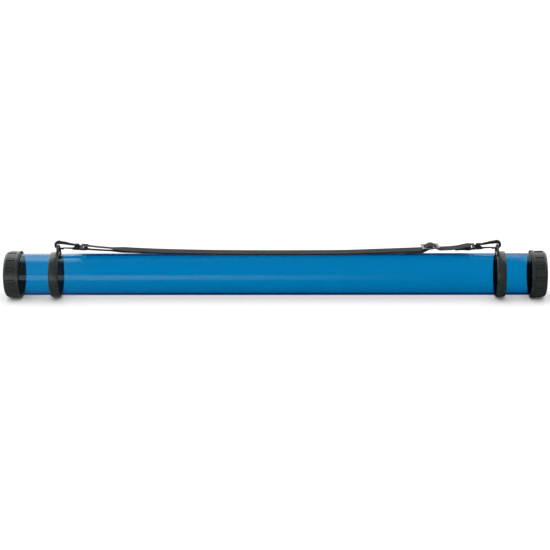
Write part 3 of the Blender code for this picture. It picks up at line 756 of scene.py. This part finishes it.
def make_swivel_loop(side):
    """The loop that holds the webbing, with the headed post that turns in the barrel."""
    place = hook_place(side)
    half = 0.5 * LOOP_THICK
    plate = block((LOOP[0], -LOOP_HALF_WIDTH, -half), (LOOP[1], LOOP_HALF_WIDTH, half))
    loop = to_object(plate, f"{side}_loop_moulding", HOOK_BLACK, place)
    low, high = LOOP_WINDOW
    window = block((low, -LOOP_WINDOW_HALF_WIDTH, -CUT), (high, LOOP_WINDOW_HALF_WIDTH, CUT))
    combine(loop, [to_object(window, f"{side}_window", HOOK_BLACK, place)], "DIFFERENCE")
    bevel(loop, 1.6, 4)
    head_start, head_end, head_r = POST_HEAD
    out, into, root_r = POST_ROOT
    post = [
        (head_start, 0.0), (head_start, head_r - POST_HEAD_CHAMFER), (head_start + POST_HEAD_CHAMFER, head_r),
        (head_end, head_r), (head_end, POST_R), (LOOP[0] - out, POST_R), (LOOP[0] - out, root_r),
        (LOOP[0] + into, root_r), (LOOP[0] + into, 0.0),
    ]
    combine(loop, [to_object(round_bar(post), f"{side}_post", HOOK_BLACK, place)], "UNION")
    mould(loop, voxel=0.3, rounds=3)
    place_piece(loop, f"{side}_strap_loop", "hook_plastic", f"{side}_swivel_loop")


# -------------------------------- webbing
def smooth_line(points, at):
    """Height at one place on a smooth curve through the points, as the CAD's own strap runs."""
    if at <= points[0][0]:
        return points[0][1]
    if at >= points[-1][0]:
        return points[-1][1]
    last = len(points) - 1
    i = max(k for k in range(last) if points[k][0] <= at)
    (x0, z0), (x1, z1) = points[i], points[i + 1]
    before, after = points[max(i - 1, 0)], points[min(i + 2, last)]
    slope0 = (z1 - before[1]) / (x1 - before[0])
    slope1 = (after[1] - z0) / (after[0] - x0)
    if (x0, x1) == STRAIGHT:
        slope0 = slope1 = (z1 - z0) / (x1 - x0)
    width = x1 - x0
    t = (at - x0) / width
    ends = (2 * t**3 - 3 * t**2 + 1) * z0 + (3 * t**2 - 2 * t**3) * z1
    return ends + width * ((t**3 - 2 * t**2 + t) * slope0 + (t**3 - t**2) * slope1)


def layer_height(x, layer):
    """Height above the axis of the upper (1) or lower (-1) layer."""
    return smooth_line(WEB_HEIGHTS, x) + 0.5 * layer * smooth_line(WEB_SPREADS, x)


def web_roll(x):
    """How far the left end of the webbing is twisted about its middle line."""
    for (x0, a0), (x1, a1) in zip(WEB_ROLLS, WEB_ROLLS[1:]):
        if x0 <= x <= x1:
            return math.radians(a0 + (a1 - a0) * step_up(x, x0, x1))
    return 0.0


def layer_run(start, end, layer):
    """Points (x, z above the axis) along one layer, a few millimetres apart."""
    steps = max(2, round(abs(end - start) / WEB_STEP))
    places = [start + (end - start) * i / steps for i in range(steps + 1)]
    return [(x, layer_height(x, layer)) for x in places]


def refine(points, step=1.2):
    """A smooth curve through points that may turn back on themselves, about one step apart."""
    nodes = [Vector((x, 0.0, z)) for x, z in points]
    fine = []
    for i in range(len(nodes) - 1):
        before, a, b, after = nodes[max(i - 1, 0)], nodes[i], nodes[i + 1], nodes[min(i + 2, len(nodes) - 1)]
        length = (b - a).length
        start = (b - before).normalized() * length
        end = (after - a).normalized() * length
        count = max(1, round(length / step))
        for k in range(count):
            t = k / count
            point = (2 * t**3 - 3 * t**2 + 1) * a + (t**3 - 2 * t**2 + t) * start
            point += (3 * t**2 - 2 * t**3) * b + (t**3 - t**2) * end
            fine.append((point.x, point.z))
    return [*fine, points[-1]]


def web_section():
    """The webbing's section as (across, through, u) points: shallow lengthwise ridges and rounded edges."""
    top = []
    flat = WEB_HALF - WEB_EDGE
    for k in range(WEB_COLUMNS + 1):
        across = -flat + 2.0 * flat * k / WEB_COLUMNS
        top.append((across, 0.5 * WEB_THICK - (WEB_RIDGE if k % 2 else 0.0), across))
    corner, u_corner = WEB_HALF - 0.12, WEB_HALF - 0.2
    edge = [(corner, 0.36, u_corner), (WEB_HALF, 0.0, WEB_HALF), (corner, -0.36, u_corner)]
    below = [(across, -through, u) for across, through, u in reversed(top)]
    far_edge = [(-across, through, -u) for across, through, u in reversed(edge)]
    return [*top, *edge, *below, *far_edge]


def strip(name, centres, acrosses, v_start=0.0):
    """A length of webbing along 3-D points in millimetres. Returns the object and its length."""
    section = web_section()
    rings, lengths = [], [v_start]
    for i, centre in enumerate(centres):
        before, after = centres[max(i - 1, 0)], centres[min(i + 1, len(centres) - 1)]
        along = (after - before).normalized()
        across = (acrosses[i] - along * acrosses[i].dot(along)).normalized()
        up = along.cross(across)
        rings.append([centre + across * a + up * t for a, t, _ in section])
        if i:
            lengths.append(lengths[-1] + (centre - centres[i - 1]).length)
    bm = skin(rings, capped=True)
    layer = bm.loops.layers.uv.new("weave")
    bm.verts.index_update()
    count = len(section)
    for face in bm.faces:
        for loop in face.loops:
            ring, k = divmod(loop.vert.index, count)
            loop[layer].uv = (section[k][2], lengths[ring])
    return to_object(bm, name, WEBBING, sharp=60.0), lengths[-1] - v_start


def flat_strip(name, points, roll=None, v_start=0.0):
    """Webbing along (x, z above the axis) points in the tube's mid plane, with an optional twist."""
    centres, acrosses = [], []
    for x, z in points:
        centre, across = Vector((x, 0.0, z)), Vector((0.0, 1.0, 0.0))
        if roll and roll(x):
            middle = Vector((x, 0.0, smooth_line(WEB_HEIGHTS, x)))
            turn = Matrix.Rotation(roll(x), 3, "X")
            centre = middle + turn @ (centre - middle)
            across = turn @ across
        centres.append(centre + Vector((0.0, 0.0, AXIS_H)))
        acrosses.append(across)
    return strip(name, centres, acrosses, v_start)


def framed_strip(name, points, place):
    """Webbing along (x, z) points of a frame."""
    across = (place.to_3x3() @ Vector((0.0, 1.0, 0.0))).normalized()
    centres = [place @ Vector((x, 0.0, z)) for x, z in points]
    return strip(name, centres, [across] * len(centres))


def loop_bar(side):
    """Centre, as (x, z above the axis), of the loop's bar that the webbing goes round."""
    point = hook_place(side) @ Vector((0.5 * (LOOP_WINDOW[1] + LOOP[1]), 0.0, 0.0))
    return point.x, point.z - AXIS_H


def declare(slot_node):
    """Hides the CAD node that a length of webbing stands for."""
    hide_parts(slot_node)


ROUND_THREAD = arc((0.0, 0.0), 1.0, 0.0, 315.0, 7)


def stitches(name, lines, place):
    """A row of thread stitches along each line of (x, y) points at one height z of a frame."""
    bm = bmesh.new()
    length, gap, radius = STITCH
    for (x0, y0), (x1, y1), z in lines:
        line = Vector((x1 - x0, y1 - y0, 0.0))
        count = max(1, int(line.length / (length + gap)))
        direction = line.normalized()
        sideways = Vector((-direction.y, direction.x, 0.0))
        for k in range(count):
            middle = Vector((x0, y0, z)) + direction * (line.length * (k + 0.5) / count)
            rings = []
            for t in STITCH_MARKS:
                size = radius * math.sqrt(max(1.0 - t**4, 0.06))
                centre = middle + direction * (0.5 * length * t) + Vector((0.0, 0.0, STITCH_DIP * t * t))
                rings.append([
                    centre + sideways * (size * u) + Vector((0, 0, size * v)) for u, v in ROUND_THREAD
                ])
            piece = [[bm.verts.new(place @ point) for point in ring] for ring in rings]
            for one, two in zip(piece, piece[1:]):
                for n in range(len(one)):
                    following = (n + 1) % len(one)
                    bm.faces.new((one[n], one[following], two[following], two[n]))
            bm.faces.new(piece[0])
            bm.faces.new(reversed(piece[-1]))
    return to_object(bm, name, THREAD, sharp=70.0)


def box_and_cross(x0, x1, half, z):
    """The lines of a sewn box with a cross in it."""
    corners = [(x0, -half), (x1, -half), (x1, half), (x0, half)]
    lines = [(corners[i], corners[(i + 1) % 4], z) for i in range(4)]
    return lines + [(corners[0], corners[2], z), (corners[1], corners[3], z)]


def adjuster_place(yaw):
    """The frame at the adjuster's middle bar, with x along the webbing, turned by yaw about its own z."""
    low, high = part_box("strap_adjuster")
    along = Vector(JOINTS["adjuster_slide"]["axis"]).normalized()
    if along.x < 0.0:
        along = -along
    across = Vector((0.0, 1.0, 0.0))
    turn = Matrix((along, across, along.cross(across))).transposed().to_4x4()
    return Matrix.Translation((low + high) / 2 / MM) @ turn @ Matrix.Rotation(yaw, 4, "Z")


def make_left_end():
    """Both layers of the left end and the turn round the swivel loop's bar."""
    bar = loop_bar("left")
    near_bar = bar[0] + 4.0
    round_bar_points = arc(bar, WEB_BEND_R, 90.0, 270.0, 14)
    upper = layer_run(LEFT_SPLIT, near_bar, 1)
    points = [*upper, *round_bar_points, *reversed(layer_run(LEFT_SPLIT, near_bar, -1))]
    piece, length = flat_strip("strap_left_turn", points, web_roll)
    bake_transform(piece)
    declare("strap_left_end")
    return length


def make_middle(v_start):
    """The two layers that lie along the tube."""
    for name, end, layer, node in (
        ("strap_upper_run", RUNNING_SPLIT, 1, "strap_running_layer"),
        ("strap_lower_run", RETURN_SPLIT, -1, "strap_return_layer"),
    ):
        piece, length = flat_strip(name, layer_run(LEFT_SPLIT, end, layer), None, v_start)
        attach(piece, "root")
        declare(node)


def make_adjuster_webbing():
    """What goes up to, over, round and away from the adjuster."""
    straight, turned_place = adjuster_place(0.0), adjuster_place(ADJUSTER_YAW)
    start = straight @ Vector((OVER_BAR[0][0], 0.0, -UNDER_BAR))
    end = straight @ Vector((OVER_BAR[-1][0], 0.0, -UNDER_BAR))
    run = layer_run(RUNNING_SPLIT, start.x, 1)
    piece, length = flat_strip("strap_to_adjuster", [*run[:-1], (start.x, start.z - AXIS_H)])
    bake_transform(piece)
    declare("strap_running_to_adjuster")
    piece, length = framed_strip("strap_over_bar", refine(OVER_BAR), straight)
    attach(piece, "adjuster")
    declare("strap_over_adjuster")
    away = layer_run(end.x, STRAIGHT[1], 1)
    piece, length = flat_strip("strap_from_adjuster", [(end.x, end.z - AXIS_H), *away[1:]])
    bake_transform(piece)
    declare("strap_running_from_adjuster")

    centre, radius = LOOP_ROUND_BAR
    loop_points = [*LOOP_UPPER_LEG, *arc((centre, 0.0), radius, 75.0, -75.0, 7), *LOOP_LOWER_LEG]
    piece, length = framed_strip("strap_sewn_turn", refine(loop_points), turned_place)
    under = LOOP_LOWER_LEG[-1][1] - 0.5 * WEB_THICK
    sewn = stitches("adjuster_stitching", box_and_cross(*ADJUSTER_BOX, under), turned_place)
    for made in (piece, sewn):
        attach(made, "adjuster")
    declare("strap_sewn_loop")

    tail = turned_place @ Vector((STITCHED_FROM, 0.0, LOOP_UPPER_LEG[0][1]))
    across_end = turned_place.to_3x3() @ Vector((0.0, 1.0, 0.0))
    run = layer_run(RETURN_SPLIT, tail.x, -1)
    drop = tail.z - AXIS_H - run[-1][1]
    centres, acrosses = [], []
    for x, z in run:
        share = step_up(x, RETURN_SPLIT, tail.x)
        centres.append(Vector((x, tail.y * share, AXIS_H + z + drop * share)))
        acrosses.append(Vector((0.0, 1.0, 0.0)).lerp(across_end, share))
    piece, length = strip("strap_return_to_sewing", centres, acrosses)
    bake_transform(piece)
    declare("strap_return_to_adjuster")


def make_right_end():
    """The right end: round the swivel loop's bar, folded back under itself and sewn."""
    bar = loop_bar("right")
    first = (STRAIGHT[1], layer_height(STRAIGHT[1], 1))
    points = refine([first, *RIGHT_TOP, *arc(bar, WEB_BEND_R, 75.0, -75.0, 7), *RIGHT_TAIL])
    piece, length = flat_strip("strap_right_turn", points)
    slope = math.atan2(RIGHT_TAIL[1][1] - RIGHT_TAIL[2][1], RIGHT_TAIL[1][0] - RIGHT_TAIL[2][0])
    middle = Vector((RIGHT_TAIL[2][0], 0.0, AXIS_H + RIGHT_TAIL[2][1]))
    place = Matrix.Translation(middle) @ Matrix.Rotation(-slope, 4, "Y")
    sewn = stitches("right_stitching", box_and_cross(*RIGHT_SEAM, -0.5 * WEB_THICK), place)
    for made in (piece, sewn):
        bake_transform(made)
    declare("strap_right_end")


def make_adjuster():
    """The three-bar adjuster: a plated plate with soft edges."""
    place = adjuster_place(ADJUSTER_YAW)
    half = 0.5 * ADJUSTER_THICK
    length, width = ADJUSTER_HALF
    plate = to_object(block((-length, -width, -half), (length, width, half)), "adjuster_plate", NICKEL, place)
    windows = []
    for sign in (-1.0, 1.0):
        low, high = sorted((sign * ADJUSTER_WINDOW[0], sign * ADJUSTER_WINDOW[1]))
        shape = block((low, -ADJUSTER_WINDOW_HALF_WIDTH, -CUT), (high, ADJUSTER_WINDOW_HALF_WIDTH, CUT))
        windows.append(to_object(shape, "adjuster_window", NICKEL, place))
    combine(plate, windows, "DIFFERENCE")
    bevel(plate, 0.75, 4)
    plate.data.shade_smooth()
    place_piece(plate, "adjuster", "nickel_plate", "strap_adjuster")


# -------------------------------- studio
def make_floor():
    """A plain white table. In reflections it glows instead: a painted reflection of a table lit from the
    front left.
    """
    made, tree = look("studio_floor")
    place = axes(tree, add(tree, "ShaderNodeTexCoord").outputs["Object"])
    # painted reflection: glossy rays see an emission here instead of the paper, brightest at the left and
    # further in front
    near = ease(tree, place[0], -0.5, -0.08, 0.14, 0.01)
    far = ease(tree, place[0], -0.5, 0.35, 1.3, 0.02)
    distance = ease(tree, place[1], -0.12, -0.24)
    painted_reflection_strength = blend(tree, distance, near, far)
    painted_reflection_glow = add(tree, "ShaderNodeEmission", {"Color": (1.0, 1.0, 1.0, 1.0), "Strength": painted_reflection_strength})
    path = add(tree, "ShaderNodeLightPath").outputs
    white = maths(tree, "MULTIPLY_ADD", path["Is Camera Ray"], PAPER_SEEN - PAPER_WHITE, PAPER_WHITE)
    paper = add(tree, "ShaderNodeBsdfDiffuse", {"Color": white})
    surface(tree, blend_shaders(tree, path["Is Glossy Ray"], paper, painted_reflection_glow))
    bm = bmesh.new()
    bmesh.ops.create_grid(bm, x_segments=1, y_segments=1, size=FLOOR_HALF)
    mesh = bpy.data.meshes.new("studio_floor")
    bm.to_mesh(mesh)
    bm.free()
    mesh.materials.append(made)
    floor = bpy.data.objects.new("studio_floor", mesh)
    bpy.context.scene.collection.objects.link(floor)


# Brightness of the soft box over the tube's ends and of the backdrop, against the angle from the front
# horizon (0) over the top (90) to the back (180)
OVERHEAD = (
    (0.0, 0.0), (75.0, 0.0), (84.0, 0.2), (92.0, 0.9), (98.0, 2.2), (104.0, 3.1), (118.0, 3.1), (128.0, 2.5),
    (138.0, 1.9), (148.0, 2.4), (180.0, 2.3),
)
ROOM = 0.03  # the dark room in front
SOFT_LIGHT = (1.35, 0.95)  # the even light that falls on everything, from the left and from the right
# Where the soft boxes begin, as the x part of a reflected direction
LEFT_BOX = (-0.147, -0.155)
RIGHT_BOX = (0.087, 0.095)
FAR_RIGHT = (0.122, 0.128)
RIGHT_LATER = math.radians(20.0)  # the right box begins this much later
FAR_EARLIER = math.radians(-25.0)  # but this much sooner at its far end
RIGHT_DIMMER = 0.4


def make_world():
    """Even soft light. Reflections show a dark room, a lit left side, boxes over both ends, a backdrop."""
    world = bpy.data.worlds.new("studio")
    bpy.context.scene.world = world
    world.use_nodes = True
    tree = world.node_tree
    tree.nodes.clear()
    towards = axes(tree, add(tree, "ShaderNodeTexCoord").outputs["Generated"])
    front = times(tree, towards[1], -1.0)
    turn = maths(tree, "ARCTAN2", towards[2], front)
    # the soft boxes: the right one is dimmer and starts further back, but for its far end
    right = ease(tree, towards[0], -0.1, 0.06)
    far_end = ease(tree, towards[0], *FAR_RIGHT)
    later = maths(tree, "MULTIPLY_ADD", far_end, FAR_EARLIER, times(tree, right, RIGHT_LATER))
    moved = maths(tree, "SUBTRACT", turn, later)
    ramp = add(tree, "ShaderNodeValToRGB", {"Fac": maths(tree, "DIVIDE", moved, math.pi)})
    stops = ramp.color_ramp.elements
    brightest = max(value for _, value in OVERHEAD)
    for i, (degrees, value) in enumerate(OVERHEAD):
        stop = stops[i] if i < 2 else stops.new(degrees / 180.0)
        stop.position = degrees / 180.0
        stop.color = (*[value / brightest] * 3, 1.0)
    strength = maths(tree, "MULTIPLY_ADD", right, -RIGHT_DIMMER * brightest, brightest)
    box = times(tree, ramp.outputs[0], strength)
    ends = maths(tree, "ADD", ease(tree, towards[0], *LEFT_BOX), ease(tree, towards[0], *RIGHT_BOX))
    behind = ease(tree, turn, math.radians(122.0), math.radians(136.0))
    fall = ease(tree, turn, math.radians(153.0), math.radians(141.0), 0.1, 1.0)
    behind = times(tree, behind, fall)
    box = times(tree, box, maths(tree, "MAXIMUM", maths(tree, "MAXIMUM", ends, behind), 0.05))
    # the lit wall along the front horizon, and the wash of light at the left
    sideways = maths(tree, "DIVIDE", towards[0], maths(tree, "MAXIMUM", front, 0.05))
    is_front = ease(tree, front, 0.0, 0.25)
    band = times(tree, ease(tree, turn, math.radians(14.0), math.radians(8.0)), is_front)
    band = times(tree, band, ease(tree, sideways, 0.1, -0.2, 0.0, 1.3))
    wash = times(tree, ease(tree, turn, math.radians(105.0), math.radians(85.0)), 0.26)
    wash = times(tree, wash, ease(tree, towards[0], -0.135, -0.17))
    reflected = maths(tree, "ADD", box, maths(tree, "MAXIMUM", maths(tree, "MAXIMUM", band, wash), ROOM))
    path = add(tree, "ShaderNodeLightPath").outputs
    height = ease(tree, towards[2], 0.0, 1.0, 0.85, 1.15)
    soft = times(tree, height, ease(tree, towards[0], -0.8, 0.8, *SOFT_LIGHT))
    light = blend(tree, path["Is Glossy Ray"], soft, reflected)
    lit = add(tree, "ShaderNodeBackground", {"Color": (1.0, 1.0, 1.0, 1.0), "Strength": light})
    plain = add(tree, "ShaderNodeBackground", {"Color": (1.0, 1.0, 1.0, 1.0), "Strength": 1.0})
    shown = blend_shaders(tree, path["Is Camera Ray"], lit, plain)
    tree.links.new(shown.outputs[0], add(tree, "ShaderNodeOutputWorld").inputs["Surface"])


def make_camera():
    """The photograph's viewing angle: a long lens, a little above the tube."""
    data = bpy.data.cameras.new("camera")
    data.lens = CAMERA_LENS
    data.sensor_width = 36.0
    data.clip_end = 100.0
    camera = bpy.data.objects.new("camera", data)
    bpy.context.scene.collection.objects.link(camera)
    level, raised = math.cos(CAMERA_ELEVATION), math.sin(CAMERA_ELEVATION)
    back = Vector((math.sin(CAMERA_AZIMUTH) * level, -math.cos(CAMERA_AZIMUTH) * level, raised))
    right = Vector((math.cos(CAMERA_AZIMUTH), math.sin(CAMERA_AZIMUTH), 0.0))
    turn = Matrix((right, back.cross(right), back)).transposed().to_4x4()
    place = Matrix.Translation(CAMERA_AIM + back * CAMERA_DISTANCE)
    camera.matrix_world = place @ turn @ Matrix.Rotation(CAMERA_ROLL, 4, "Z")
    bpy.context.scene.camera = camera


bpy.context.scene.view_settings.view_transform = "Standard"
make_camera()
make_world()
make_floor()
make_tube()
for side in SIDES:
    make_cap(side)
    make_liner(side)
    make_sleeve(side)
    make_collar(side)
    make_hook(side)
    make_gate(side)
    make_swivel_loop(side)
make_adjuster()
make_middle(make_left_end())
make_adjuster_webbing()
make_right_end()
